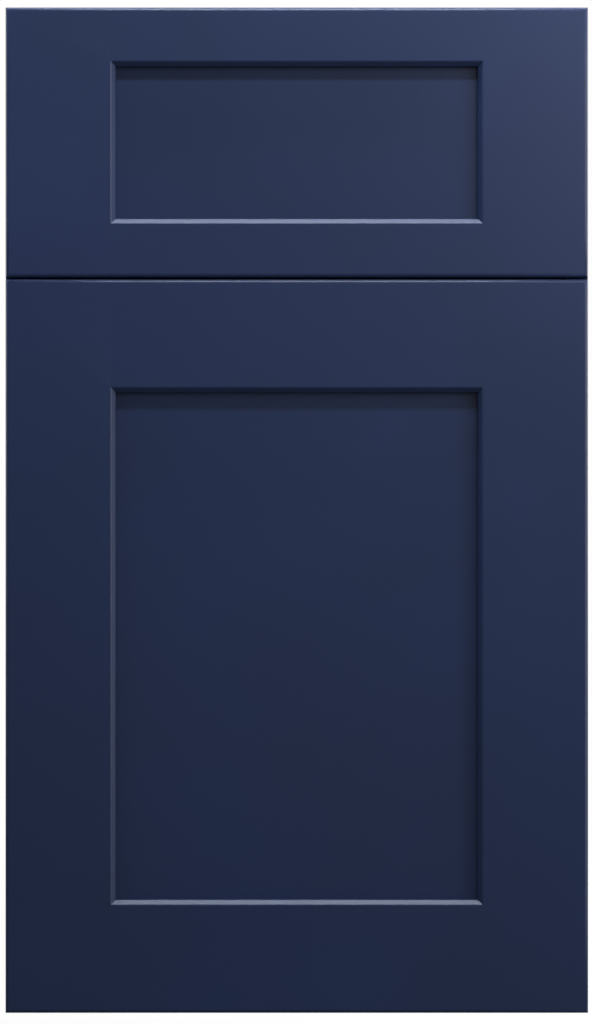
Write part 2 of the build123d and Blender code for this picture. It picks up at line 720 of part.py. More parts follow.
def drawer_box():
    floor_low = drawer_low + drawer_bottom_rise
    floor_high = floor_low + drawer_bottom_board
    inner_x = half_drawer - drawer_board
    dado = drawer_groove

    left_tails = dovetails(-half_drawer)
    right_tails = dovetails(inner_x)
    with BuildPart() as side:
        block((-half_drawer, drawer_inner_y, drawer_low), (-inner_x, drawer_rear, drawer_top))
        add(left_tails)
        low = (-inner_x - dado, drawer_inner_y, floor_low)
        block(low, (-inner_x, drawer_rear, floor_high), Mode.SUBTRACT)
        low = (-inner_x - dado, drawer_back_y, drawer_low)
        block(low, (-inner_x, drawer_rear, drawer_top), Mode.SUBTRACT)
        holes = [(-half_drawer, y, z) for _, y, z in slide_screw_points(0)]
        rods(holes, "+x", slide_screw[2] + hole_fit, drawer_screw_length, Mode.SUBTRACT)
    save_pair(side, "drawer_side_left", "drawer_side_right")

    with BuildPart() as front:
        block((-half_drawer, front_back, drawer_low), (half_drawer, drawer_inner_y, drawer_top))
        add(left_tails, mode=Mode.SUBTRACT)
        add(right_tails, mode=Mode.SUBTRACT)
        low = (-inner_x, drawer_inner_y - dado, floor_low)
        block(low, (inner_x, drawer_inner_y, floor_high), Mode.SUBTRACT)
        holes = box_screw_points(drawer_inner_y)
        rods(holes, "-y", box_screw[2] + hole_fit, drawer_front_board, Mode.SUBTRACT)
    save(front, "drawer_box_front")

    with BuildPart() as back:
        low = (-inner_x - dado, drawer_back_y, drawer_low)
        block(low, (-well_half, drawer_rear, drawer_top))
        low = (-inner_x - dado, drawer_back_y, floor_low)
        block(low, (-well_half, drawer_back_y + dado, floor_high), Mode.SUBTRACT)
    save_pair(back, "drawer_back_left", "drawer_back_right")

    well_outer = well_half + drawer_board
    with BuildPart() as cheek:
        block((-well_outer, well_front_y, drawer_low), (-well_half, drawer_back_y, drawer_top))
        low = (-well_outer, well_front_y, floor_low)
        block(low, (-well_outer + dado, drawer_back_y, floor_high), Mode.SUBTRACT)
    save_pair(cheek, "drawer_well_left", "drawer_well_right")

    well_front_low = well_front_y - drawer_board
    with BuildPart() as well_front:
        block((-well_outer, well_front_low, drawer_low), (well_outer, well_front_y, drawer_top))
        low = (-well_outer, well_front_low, floor_low)
        block(low, (well_outer, well_front_low + dado, floor_high), Mode.SUBTRACT)
        for outer, inner in ((-well_outer, -well_outer + dado), (well_outer, well_outer - dado)):
            block((outer, well_front_low, floor_low), (inner, well_front_y, floor_high), Mode.SUBTRACT)
    save(well_front, "drawer_well_front")

    groove = dado - groove_slack
    with BuildPart() as floor:
        low = (-inner_x - groove, drawer_inner_y + fit, floor_low + fit)
        block(low, (inner_x + groove, drawer_back_y + groove, floor_high - fit))
        low = (-inner_x + fit, drawer_inner_y - groove, floor_low + fit)
        block(low, (inner_x - fit, drawer_inner_y + fit, floor_high - fit))
        notch = well_outer - groove
        block((-notch, well_front_low + groove, floor_low), (notch, drawer_rear, floor_high), Mode.SUBTRACT)
    save(floor, "drawer_bottom")

    front_screw = screw(*box_screw)
    with BuildPart() as screws:
        place(front_screw, box_screw_points(drawer_inner_y), "+y")
    save(screws, "drawer_front_screws")


def box_screw_points(y):
    """Screw places midway between the panel grooves of the stiles and the sides of the drawer."""
    x = (half_opening + panel_groove + half_drawer - drawer_board) / 2
    middle = (drawer_low + drawer_top) / 2
    levels = (middle - box_screw_rise, middle + box_screw_rise)
    return both_sides([(x, y, level) for level in levels])


# ---- Framed fronts ----
def front_stile(outer_x, inner_x, low, high):
    """A stile: bevelled inner arris, rounded outer arrises and a groove for the panel."""
    inward = 1 if inner_x > outer_x else -1
    with BuildPart() as stile:
        block((min(outer_x, inner_x), face_y, low), (max(outer_x, inner_x), front_back, high))
        uprights = stile.edges().filter_by(Axis.Z).group_by(Axis.Y)[0].sort_by(Axis.X)
        chamfer(uprights[-1] if inward > 0 else uprights[0], bevel)
        uprights = stile.edges().filter_by(Axis.Z).group_by(Axis.Y)[0].sort_by(Axis.X)
        ends = stile.edges().filter_by(Axis.X).group_by(Axis.Y)[0]
        fillet([uprights[0] if inward > 0 else uprights[-1], *ends], arris)
        groove = sorted((inner_x - inward * panel_groove, inner_x))
        low_corner = (groove[0], face_y + panel_recess - fit, low)
        high_corner = (groove[1], face_y + panel_recess + panel_thickness + fit, high)
        block(low_corner, high_corner, Mode.SUBTRACT)
    return stile


def front_rail(outer_z, inner_z, stiles):
    """A rail between two stiles, coped over their bevels and tenoned into their grooves."""
    inward = 1 if inner_z > outer_z else -1
    half = half_opening + bevel
    groove_front = face_y + panel_recess - fit
    groove_back = groove_front + panel_thickness + 2 * fit
    groove = sorted((inner_z - inward * panel_groove, inner_z))
    tenon = sorted((outer_z, inner_z - inward * panel_groove))
    reach = half_opening + panel_groove - tenon_slack
    with BuildPart() as rail:
        block((-half, face_y, min(outer_z, inner_z)), (half, front_back, max(outer_z, inner_z)))
        level = rail.edges().filter_by(Axis.X).group_by(Axis.Y)[0].sort_by(Axis.Z)
        chamfer(level[-1] if inward > 0 else level[0], bevel)
        level = rail.edges().filter_by(Axis.X).group_by(Axis.Y)[0].sort_by(Axis.Z)
        fillet(level[0] if inward > 0 else level[-1], arris)
        block((-half, groove_front, groove[0]), (half, groove_back, groove[1]), Mode.SUBTRACT)
        block((-reach, groove_front, tenon[0]), (reach, groove_back, tenon[1]))
        for stile in stiles:
            add(stile.part, mode=Mode.SUBTRACT)
    return rail


def front_panel(low, high):
    reach = panel_groove - panel_float
    with BuildPart() as panel:
        low_corner = (-half_opening - reach, face_y + panel_recess, low - reach)
        high_corner = (half_opening + reach, face_y + panel_recess + panel_thickness, high + reach)
        block(low_corner, high_corner)
    return panel


def framed_front(prefix, low, high, rail_width):
    """Saves the rails and the panel of a framed front, and gives its two stiles."""
    stiles = [front_stile(side * half_front, side * half_opening, low, high) for side in (-1, 1)]
    save(front_rail(high, high - rail_width, stiles), f"{prefix}_top_rail")
    save(front_rail(low, low + rail_width, stiles), f"{prefix}_bottom_rail")
    save(front_panel(low + rail_width, high - rail_width), f"{prefix}_panel")
    return stiles


def drawer_front():
    left, right = framed_front("drawer_front", drawer_front_low, fronts_top, drawer_rail_width)
    for name, stile in (("drawer_front_left_stile", left), ("drawer_front_right_stile", right)):
        with BuildPart() as bored:
            add(stile.part)
            points = [p for p in box_screw_points(front_back) if (p[0] < 0) == (stile is left)]
            depth = box_screw[3] - drawer_front_board
            rods(points, "-y", box_screw[2] + hole_fit, depth, Mode.SUBTRACT)
        save(bored, name)


def door():
    hinge_side, free_side = framed_front("door", door_low, door_top, door_rail_width)
    save(free_side, "door_free_stile")
    with BuildPart() as hinge_stile:
        add(hinge_side.part)
        cups = [(cup_x, front_back, level) for level in hinge_levels.values()]
        rods(cups, "-y", cup_radius + hole_fit, cup_depth + fit, Mode.SUBTRACT)
        rods(wing_screw_points(front_back), "-y", cup_screw[2] + hole_fit, cup_screw[3], Mode.SUBTRACT)
    save(hinge_stile, "door_hinge_stile")


# ---- Hinges ----
def wing_screw_points(y):
    x = cup_x + wing_screw_offset
    offsets = (-wing_screw_spacing / 2, wing_screw_spacing / 2)
    return [(x, y, level + offset) for level in hinge_levels.values() for offset in offsets]


def hinge_cup(level):
    """The cup pressed into the door: a cast disc with a pocket for the arm, a rim and two screw wings."""
    with BuildPart() as cup:
        rods([(cup_x, front_back, level)], "-y", cup_radius, cup_depth)
        rods([(cup_x, front_back, level)], "+y", cup_radius + cup_flange_lip, cup_flange)
        wing_x = cup_x + wing_screw_offset
        low = (wing_x - wing_width / 2, front_back, level - wing_half_length)
        block(low, (wing_x + wing_width / 2, front_back + cup_flange, level + wing_half_length))
        fillet(cup.edges().filter_by(Axis.Y).group_by(Axis.Z)[0], wing_round)
        fillet(cup.edges().filter_by(Axis.Y).group_by(Axis.Z)[-1], wing_round)
        low = (cup_pocket_low, front_back - cup_pocket_depth, level - cup_pocket_half)
        high = (cup_pocket_high, front_back + cup_flange, level + cup_pocket_half)
        block(low, high, Mode.SUBTRACT)
        pin_half = cup_pocket_half + pin_bite
        pin_end = (pivot_x, pivot_y, level - pin_half)
        rods([pin_end], "+z", pivot_pin_radius + pin_fit, 2 * pin_half, Mode.SUBTRACT)
        screws = [p for p in wing_screw_points(front_back) if abs(p[2] - level) < wing_half_length]
        rods(screws, "+y", cup_screw[2] + hole_fit, cup_flange, Mode.SUBTRACT)
    return cup


def hinge_arm(level):
    """The gooseneck arm, from the knuckle in the cup back to its channel over the mounting plate."""
    column_x = arm_column_x
    half = arm_steel / 2
    rear = case_front + arm_reach
    with BuildPart() as arm:
        rods([(pivot_x, pivot_y, level - arm_half_width)], "+z", knuckle_radius, 2 * arm_half_width)
        low = (pivot_x, pivot_y - half, level - arm_half_width)
        block(low, (column_x + half, pivot_y + half, level + arm_half_width))
        low = (column_x - half, pivot_y - half, level - arm_half_width)
        block(low, (column_x + half, rear, level + arm_half_width))
        corner = arm.edges().filter_by(Axis.Z).sort_by_distance((column_x + half, pivot_y - half, level))[0]
        fillet(corner, arm_steel)
        for side in (-1, 1):
            near = level + side * arm_half_width
            far = near - side * arm_cheek
            low = (wall_face + plate_steel + arm_plate_gap, plate_y - spine_length / 2, min(near, far))
            block(low, (column_x, rear, max(near, far)))
        bore_end = (pivot_x, pivot_y, level - arm_half_width)
        rods([bore_end], "+z", pivot_pin_radius + hole_fit, 2 * arm_half_width, Mode.SUBTRACT)
        rods([(column_x - half, arm_screw_y, level)], "+x", arm_screw[2] + hole_fit, arm_steel, Mode.SUBTRACT)
    return arm


def mounting_plate(level):
    """The plate screwed to the side panel, with the spine that the arm is clamped to."""
    spine_face = arm_column_x - arm_steel / 2
    with BuildPart() as plate:
        low = (wall_face, plate_y - plate_width / 2, level - plate_half_height)
        block(low, (wall_face + plate_steel, plate_y + plate_width / 2, level + plate_half_height))
        fillet(plate.edges().filter_by(Axis.X), plate_round)
        low = (wall_face, plate_y - spine_length / 2, level - spine_half_height)
        block(low, (spine_face, plate_y + spine_length / 2, level + spine_half_height))
        screws = [p for p in plate_screw_points() if abs(p[2] - level) < plate_half_height]
        rods(screws, "+x", plate_screw[2] + hole_fit, plate_steel, Mode.SUBTRACT)
        depth = spine_face - wall_face
        rods([(spine_face, arm_screw_y, level)], "-x", arm_screw[2] + hole_fit, depth, Mode.SUBTRACT)
    return plate


def hinges():
    for name, level in hinge_levels.items():
        save(hinge_cup(level), f"hinge_{name}_cup")
        save(hinge_arm(level), f"hinge_{name}_arm")
        save(mounting_plate(level), f"hinge_{name}_plate")

    pin_half = cup_pocket_half + pin_bite
    with BuildPart() as pins:
        ends = [(pivot_x, pivot_y, level - pin_half) for level in hinge_levels.values()]
        rods(ends, "+z", pivot_pin_radius, 2 * pin_half)
    save(pins, "hinge_pins")

    wing_screw = screw(*cup_screw)
    with BuildPart() as cup_screws:
        place(wing_screw, wing_screw_points(front_back + cup_flange), "+y")
    save(cup_screws, "hinge_cup_screws")

    base_screw = screw(*plate_screw[:3], plate_screw[3] + plate_steel - screw_end_gap)
    column_face = arm_column_x + arm_steel / 2
    clamp_screw = screw(*arm_screw, column_face - wall_face - screw_end_gap)
    with BuildPart() as plate_screws:
        place(base_screw, [(wall_face + plate_steel, y, z) for _, y, z in plate_screw_points()], "+x")
        place(clamp_screw, [(column_face, arm_screw_y, level) for level in hinge_levels.values()], "+x")
    save(plate_screws, "hinge_plate_screws")


# ---- Bumpers ----
def bumpers(name, points):
    """Soft domes stuck to the back of a front, just clear of the case edge that they meet."""
    height = front_gap - bumper_gap
    with BuildPart() as domes:
        rods(points, "+y", bumper_radius, height)
        fillet(domes.edges().filter_by(GeomType.CIRCLE).group_by(Axis.Y)[-1], bumper_round)
    save(domes, name)


def all_bumpers():
    free_x = half_front - bumper_side_inset
    levels = (door_top - bumper_inset, door_low + bumper_inset)
    bumpers("door_bumpers", [(free_x, front_back, level) for level in levels])
    bumpers("drawer_bumpers", both_sides([(free_x, front_back, fronts_top - bumper_inset)]))


os.makedirs("parts", exist_ok=True)
case_boards()
back_panel()
lower_wall_brace()
edge_bands()
shelf_and_pins()
joint_hardware()
wall_rail()
hangers()
slide_members()
ball_cages("slide_outer_cages", outer_flange / 2, outer_half - slide_steel, middle_half)
ball_cages("slide_inner_cages", (inner_flange + middle_flange) / 2, middle_half - slide_steel, inner_half)
slide_screws()
drawer_box()
drawer_front()
door()
hinges()
all_bumpers()
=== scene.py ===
import json
import math
import bpy
import bmesh
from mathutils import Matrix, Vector

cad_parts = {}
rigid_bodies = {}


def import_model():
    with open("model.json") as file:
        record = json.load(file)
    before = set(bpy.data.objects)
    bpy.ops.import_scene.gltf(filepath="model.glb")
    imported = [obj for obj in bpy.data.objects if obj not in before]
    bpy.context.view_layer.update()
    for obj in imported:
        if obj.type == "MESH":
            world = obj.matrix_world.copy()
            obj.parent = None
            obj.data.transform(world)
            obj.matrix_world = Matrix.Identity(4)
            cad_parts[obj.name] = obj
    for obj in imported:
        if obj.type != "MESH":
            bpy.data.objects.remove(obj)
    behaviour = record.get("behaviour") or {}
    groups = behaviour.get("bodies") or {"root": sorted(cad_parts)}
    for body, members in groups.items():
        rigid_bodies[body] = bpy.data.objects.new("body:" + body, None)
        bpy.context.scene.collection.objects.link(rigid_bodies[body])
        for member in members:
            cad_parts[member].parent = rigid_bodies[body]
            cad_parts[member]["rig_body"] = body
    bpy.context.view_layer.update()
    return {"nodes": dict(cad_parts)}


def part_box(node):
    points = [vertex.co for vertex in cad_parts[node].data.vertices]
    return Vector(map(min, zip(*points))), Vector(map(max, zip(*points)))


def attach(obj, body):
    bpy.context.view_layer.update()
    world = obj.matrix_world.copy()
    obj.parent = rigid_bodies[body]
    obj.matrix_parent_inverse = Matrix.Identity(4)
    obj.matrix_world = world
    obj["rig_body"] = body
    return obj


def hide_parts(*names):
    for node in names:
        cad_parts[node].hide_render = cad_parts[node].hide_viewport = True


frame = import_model()
mm = 0.001
nodes = frame["nodes"]
print("frame loaded:", len(nodes), "nodes")


def toLinear(hexColour):
    # an sRGB hex colour as linear red, green, blue and alpha
    parts = [int(hexColour[i:i + 2], 16) / 255 for i in (1, 3, 5)]
    return [p / 12.92 if p <= 0.04045 else ((p + 0.055) / 1.055) ** 2.4 for p in parts] + [1.0]


def addNode(tree, kind, inputs=None, stops=(), **settings):
    # a node with its settings, its links or values, and a colour ramp's stops as hex colours or greys
    node = tree.nodes.new(kind)
    for name, value in settings.items():
        setattr(node, name, value)
    for name, value in (inputs or {}).items():
        if isinstance(value, bpy.types.NodeSocket):
            tree.links.new(value, node.inputs[name])
        else:
            node.inputs[name].default_value = value
    while stops and len(node.color_ramp.elements) < len(stops):
        node.color_ramp.elements.new(0.5)
    for i, (place, colour) in enumerate(stops):
        stop = node.color_ramp.elements[i]
        stop.position = place
        stop.color = toLinear(colour) if isinstance(colour, str) else [colour] * 3 + [1.0]
    return node


def newMaterial(name):
    # an empty material and its tree; the caller adds the nodes
    material = bpy.data.materials.new(name)
    material.use_nodes = True
    material.node_tree.nodes.clear()
    return material, material.node_tree


lacquer = {"colour": "#213052", "cloudy": "#22325A", "cloud": 180 * mm, "gloss": 0.34, "dull": 0.38,
           "peel": 2.6 * mm, "peelDepth": 0.004 * mm, "ior": 1.5}


def makeNavyLacquer():
    # satin two-part lacquer, sprayed: an even dark navy with a broad soft highlight and a trace of orange
    # peel
    material, tree = newMaterial("navySatinLacquer")
    place = addNode(tree, "ShaderNodeTexCoord").outputs["Object"]
    cloud = addNode(tree, "ShaderNodeTexNoise",
                    {"Vector": place, "Scale": 1 / lacquer["cloud"], "Detail": 3.0}).outputs["Fac"]
    colour = addNode(tree, "ShaderNodeValToRGB", {"Fac": cloud},
                     [(0.35, lacquer["colour"]), (0.75, lacquer["cloudy"])]).outputs["Color"]
    gloss = addNode(tree, "ShaderNodeValToRGB", {"Fac": cloud},
                    [(0.3, lacquer["gloss"]), (0.7, lacquer["dull"])]).outputs["Color"]
    peel = addNode(tree, "ShaderNodeTexNoise",
                   {"Vector": place, "Scale": 1 / lacquer["peel"], "Detail": 1.0})
    bump = addNode(tree, "ShaderNodeBump",
                   {"Height": peel.outputs["Fac"], "Distance": lacquer["peelDepth"], "Strength": 1.0})
    shader = addNode(tree, "ShaderNodeBsdfPrincipled",
                     {"Base Color": colour, "Roughness": gloss, "IOR": lacquer["ior"],
                      "Normal": bump.outputs["Normal"]})
    addNode(tree, "ShaderNodeOutputMaterial", {"Surface": shader.outputs["BSDF"]})
    return material


waveLength = math.pi / 10  # of a wave texture whose scale is 1


# lengths are measured across the grain, and stretch is how fast the pattern changes along it; heart moves
# the centre of the rings
maple = {"light": "#D9BF99", "dark": "#C7A67B", "fleck": "#A98459", "ring": 14 * mm, "streak": 6 * mm,
         "pore": 0.9 * mm, "bend": 60 * mm, "figure": 0.3, "fleckShare": 0.4, "gloss": 0.38, "stretch": 0.05,
         "heart": (0.07, 0.13, 0.05)}
birch = {"light": "#DDC8A3", "dark": "#CBB087", "fleck": "#A88A60", "ring": 30 * mm, "streak": 11 * mm,
         "pore": 1.1 * mm, "bend": 90 * mm, "figure": 0.25, "fleckShare": 0.25, "gloss": 0.42,
         "stretch": 0.09, "heart": (0.04, 0.02, 0.09)}
beech = {"light": "#D3A878", "dark": "#BD8E60", "fleck": "#8F6440", "ring": 3 * mm, "streak": 2 * mm,
         "pore": 0.5 * mm, "bend": 9 * mm, "figure": 0.4, "fleckShare": 0.5, "gloss": 0.5, "stretch": 0.1,
         "heart": (0.0, 0.0, 0.0)}
coat = {"ior": 1.48, "glossSpread": 0.12, "poreDepth": 0.03 * mm, "wander": 0.9}


def makeWood(name, wood, along):
    # clear-coated wood, a mild sheen over grain along one axis: soft streaks over wide growth rings, and fine
    # dark flecks
    material, tree = newMaterial(name)
    place = addNode(tree, "ShaderNodeTexCoord").outputs["Object"]
    stretch = [1.0, 1.0, 1.0]
    stretch["XYZ".index(along)] = wood["stretch"]
    long = addNode(tree, "ShaderNodeMapping",
                   {"Vector": place, "Location": wood["heart"], "Scale": stretch}).outputs["Vector"]
    bend = addNode(tree, "ShaderNodeTexNoise",
                   {"Vector": long, "Scale": 1 / wood["bend"], "Detail": 1.0}).outputs["Color"]
    bent = addNode(tree, "ShaderNodeMix", {"Factor": wood["bend"] * coat["wander"], 4: long, 5: bend},
                   data_type="VECTOR").outputs[1]  # sockets 4 and 5 are the two vectors
    rings = addNode(tree, "ShaderNodeTexWave",
                    {"Vector": bent, "Scale": waveLength / wood["ring"], "Distortion": 2.5, "Detail": 2.0,
                     "Detail Scale": 1.5, "Detail Roughness": 0.6},
                    wave_type="RINGS", rings_direction=along, wave_profile="SIN").outputs["Fac"]
    streaks = addNode(tree, "ShaderNodeTexNoise",
                      {"Vector": long, "Scale": 1 / wood["streak"], "Detail": 5.0,
                       "Roughness": 0.62}).outputs["Fac"]
    pores = addNode(tree, "ShaderNodeTexNoise",
                    {"Vector": long, "Scale": 1 / wood["pore"], "Detail": 2.0,
                     "Roughness": 0.5}).outputs["Fac"]
    figure = addNode(tree, "ShaderNodeMix", {"Factor": wood["figure"], "A": streaks, "B": rings},
                     data_type="FLOAT").outputs["Result"]
    colour = addNode(tree, "ShaderNodeValToRGB", {"Fac": figure},
                     [(0.3, wood["light"]), (0.75, wood["dark"])]).outputs["Color"]
    fleck = addNode(tree, "ShaderNodeValToRGB", {"Fac": pores},
                    [(0.56, 0.0), (0.74, wood["fleckShare"])]).outputs["Color"]
    flecked = addNode(tree, "ShaderNodeMix", {"Factor": fleck, 6: colour, 7: toLinear(wood["fleck"])},
                      data_type="RGBA").outputs[2]  # sockets 6 and 7 are the two colours
    gloss = addNode(tree, "ShaderNodeValToRGB", {"Fac": streaks},
                    [(0.2, wood["gloss"]), (0.9, wood["gloss"] + coat["glossSpread"])]).outputs["Color"]
    bump = addNode(tree, "ShaderNodeBump",
                   {"Height": pores, "Distance": coat["poreDepth"], "Strength": 0.35})
    shader = addNode(tree, "ShaderNodeBsdfPrincipled",
                     {"Base Color": flecked, "Roughness": gloss, "IOR": coat["ior"],
                      "Normal": bump.outputs["Normal"]})
    addNode(tree, "ShaderNodeOutputMaterial", {"Surface": shader.outputs["BSDF"]})
    return material


sawn = {"ior": 1.46, "endDull": 0.62, "endDepth": 0.06 * mm, "plyDull": 0.6, "plyDepth": 0.05 * mm}


def makeEndGrain(name, wood):
    # wood cut across its fibres: darker, dull and full of small open pores
    material, tree = newMaterial(name)
    place = addNode(tree, "ShaderNodeTexCoord").outputs["Object"]
    pores = addNode(tree, "ShaderNodeTexNoise",
                    {"Vector": place, "Scale": 1 / wood["pore"], "Detail": 3.0,
                     "Roughness": 0.7}).outputs["Fac"]
    rings = addNode(tree, "ShaderNodeTexNoise",
                    {"Vector": place, "Scale": 1 / wood["ring"], "Detail": 1.0,
                     "Distortion": 1.5}).outputs["Fac"]
    tone = addNode(tree, "ShaderNodeMix", {"Factor": 0.6, "A": rings, "B": pores}, data_type="FLOAT")
    colour = addNode(tree, "ShaderNodeValToRGB", {"Fac": tone.outputs["Result"]},
                     [(0.35, wood["dark"]), (0.68, wood["fleck"])]).outputs["Color"]
    bump = addNode(tree, "ShaderNodeBump", {"Height": pores, "Distance": sawn["endDepth"], "Strength": 0.5})
    shader = addNode(tree, "ShaderNodeBsdfPrincipled",
                     {"Base Color": colour, "Roughness": sawn["endDull"], "IOR": sawn["ior"],
                      "Normal": bump.outputs["Normal"]})
    addNode(tree, "ShaderNodeOutputMaterial", {"Surface": shader.outputs["BSDF"]})
    return material


def makePlyEdge(name, wood, axis, start, ply):
    # the sawn edge of plywood: long-grain plies between darker end-grain ones, each one ply thick
    material, tree = newMaterial(name)
    place = addNode(tree, "ShaderNodeTexCoord").outputs["Object"]
    period = 2 * ply
    firstPly = math.pi / 2 - 2 * math.pi * (start + ply / 2) / period  # the outer ply is a light one
    layers = addNode(tree, "ShaderNodeTexWave",
                     {"Vector": place, "Scale": waveLength / period, "Distortion": 0.25, "Detail": 1.0,
                      "Detail Scale": 40.0, "Phase Offset": firstPly},
                     wave_type="BANDS", bands_direction=axis, wave_profile="SIN").outputs["Fac"]
    fibres = addNode(tree, "ShaderNodeTexNoise",
                     {"Vector": place, "Scale": 1 / wood["pore"], "Detail": 3.0,
                      "Roughness": 0.7}).outputs["Fac"]
    tone = addNode(tree, "ShaderNodeMix", {"Factor": 0.22, "A": layers, "B": fibres}, data_type="FLOAT")
    colour = addNode(tree, "ShaderNodeValToRGB", {"Fac": tone.outputs["Result"]},
                     [(0.05, wood["fleck"]), (0.42, wood["dark"]), (0.62, wood["light"])]).outputs["Color"]
    bump = addNode(tree, "ShaderNodeBump", {"Height": fibres, "Distance": sawn["plyDepth"], "Strength": 0.5})
    shader = addNode(tree, "ShaderNodeBsdfPrincipled",
                     {"Base Color": colour, "Roughness": sawn["plyDull"], "IOR": sawn["ior"],
                      "Normal": bump.outputs["Normal"]})
    addNode(tree, "ShaderNodeOutputMaterial", {"Surface": shader.outputs["BSDF"]})
    return material


# stretch draws the marks out along the way the strip was rolled
zinc = {"light": "#C9CDD1", "dark": "#B4B9BF", "stretch": (1.0, 0.06, 1.0), "mark": 0.9 * mm,
        "bloom": 22 * mm, "gloss": 0.32, "depth": 0.001 * mm}
nickel = {"light": "#C8C1B4", "dark": "#B5AEA2", "stretch": (1.0, 0.2, 1.0), "mark": 0.8 * mm,
          "bloom": 12 * mm, "gloss": 0.24, "depth": 0.0006 * mm}
dieCast = {"light": "#9A9DA1", "dark": "#85888D", "stretch": (1.0, 1.0, 1.0), "mark": 0.35 * mm,
           "bloom": 6 * mm, "gloss": 0.42, "depth": 0.01 * mm}
ballSteel = {"light": "#D2D4D6", "dark": "#C6C9CC", "stretch": (1.0, 1.0, 1.0), "mark": 0.4 * mm,
             "bloom": 4 * mm, "gloss": 0.12, "depth": 0.0005 * mm}


def makeMetal(name, metal):
    # bare or plated metal: highlights drawn out along its rolling marks, or broken up by its casting, and a
    # tone that is never quite even
    material, tree = newMaterial(name)
    place = addNode(tree, "ShaderNodeTexCoord").outputs["Object"]
    drawn = addNode(tree, "ShaderNodeMapping",
                    {"Vector": place, "Scale": metal["stretch"]}).outputs["Vector"]
    marks = addNode(tree, "ShaderNodeTexNoise",
                    {"Vector": drawn, "Scale": 1 / metal["mark"], "Detail": 4.0,
                     "Roughness": 0.6}).outputs["Fac"]
    bloom = addNode(tree, "ShaderNodeTexNoise",
                    {"Vector": place, "Scale": 1 / metal["bloom"], "Detail": 3.0}).outputs["Fac"]
    colour = addNode(tree, "ShaderNodeValToRGB", {"Fac": bloom},
                     [(0.3, metal["dark"]), (0.7, metal["light"])]).outputs["Color"]
    gloss = addNode(tree, "ShaderNodeValToRGB", {"Fac": marks},
                    [(0.25, metal["gloss"] - 0.03), (0.75, metal["gloss"] + 0.05)]).outputs["Color"]
    bump = addNode(tree, "ShaderNodeBump", {"Height": marks, "Distance": metal["depth"], "Strength": 0.4})
    shader = addNode(tree, "ShaderNodeBsdfPrincipled",
                     {"Base Color": colour, "Metallic": 1.0, "Roughness": gloss,
                      "Normal": bump.outputs["Normal"]})
    addNode(tree, "ShaderNodeOutputMaterial", {"Surface": shader.outputs["BSDF"]})
    return material


nylon = {"light": "#CFCFCB", "dark": "#C4C4C0", "grain": 0.25 * mm, "flow": 14 * mm, "gloss": 0.42,
         "depth": 0.02 * mm, "ior": 1.53, "clear": 0.0}
softClear = {"light": "#F2F4F2", "dark": "#E6E9E6", "grain": 0.4 * mm, "flow": 5 * mm, "gloss": 0.18,
             "depth": 0.02 * mm, "ior": 1.49, "clear": 0.8}


def makePlastic(name, plastic):
    # moulded plastic: soft even highlights, broken by the fine spark-eroded grain of its mould
    material, tree = newMaterial(name)
    place = addNode(tree, "ShaderNodeTexCoord").outputs["Object"]
    grain = addNode(tree, "ShaderNodeTexNoise",
                    {"Vector": place, "Scale": 1 / plastic["grain"], "Detail": 2.0}).outputs["Fac"]
    flow = addNode(tree, "ShaderNodeTexNoise",
                   {"Vector": place, "Scale": 1 / plastic["flow"], "Detail": 2.0}).outputs["Fac"]
    colour = addNode(tree, "ShaderNodeValToRGB", {"Fac": flow},
                     [(0.3, plastic["dark"]), (0.7, plastic["light"])]).outputs["Color"]
    gloss = addNode(tree, "ShaderNodeValToRGB", {"Fac": grain},
                    [(0.3, plastic["gloss"]), (0.7, plastic["gloss"] + 0.1)]).outputs["Color"]
    bump = addNode(tree, "ShaderNodeBump", {"Height": grain, "Distance": plastic["depth"], "Strength": 0.5})
    shader = addNode(tree, "ShaderNodeBsdfPrincipled",
                     {"Base Color": colour, "Roughness": gloss, "IOR": plastic["ior"],
                      "Transmission Weight": plastic["clear"], "Normal": bump.outputs["Normal"]})
    addNode(tree, "ShaderNodeOutputMaterial", {"Surface": shader.outputs["BSDF"]})
    return material


paint = {
    "navy": makeNavyLacquer(),
    "mapleUp": makeWood("mapleVeneerUpright", maple, "Z"),
    "mapleAcross": makeWood("mapleVeneerAcross", maple, "X"),
    "mapleDeep": makeWood("mapleBoardDeep", maple, "Y"),
    "mapleEnd": makeEndGrain("mapleEndGrain", maple),
    "birchAcross": makeWood("birchPlyAcross", birch, "X"),
    "beechPin": makeWood("beechDowel", beech, "X"),
    "zinc": makeMetal("zincPlatedSteel", zinc),
    "nickel": makeMetal("nickelPlatedSteel", nickel),
    "cast": makeMetal("dieCastZinc", dieCast),
    "ballSteel": makeMetal("polishedBallSteel", ballSteel),
    "nylon": makePlastic("greyNylon", nylon),
    "clearRubber": makePlastic("clearSoftPolyurethane", softClear),
}
print("materials made:", len(paint))


def onlyThis(piece):
    bpy.ops.object.select_all(action="DESELECT")
    piece.select_set(True)
    bpy.context.view_layer.objects.active = piece


joining = {"distance": 0.002 * mm, "flat": math.radians(0.3)}


def merged(name):
    # a copy of a node whose triangles are joined again and whose flat faces are whole
    piece = bpy.data.objects.new(name + "_made", nodes[name].data.copy())
    bpy.context.collection.objects.link(piece)
    onlyThis(piece)
    bpy.ops.mesh.customdata_custom_splitnormals_clear()
    bpy.ops.object.mode_set(mode="EDIT")
    bpy.ops.mesh.select_all(action="SELECT")
    bpy.ops.mesh.remove_doubles(threshold=joining["distance"])
    bpy.ops.mesh.dissolve_limited(angle_limit=joining["flat"])
    bpy.ops.object.mode_set(mode="OBJECT")
    return piece


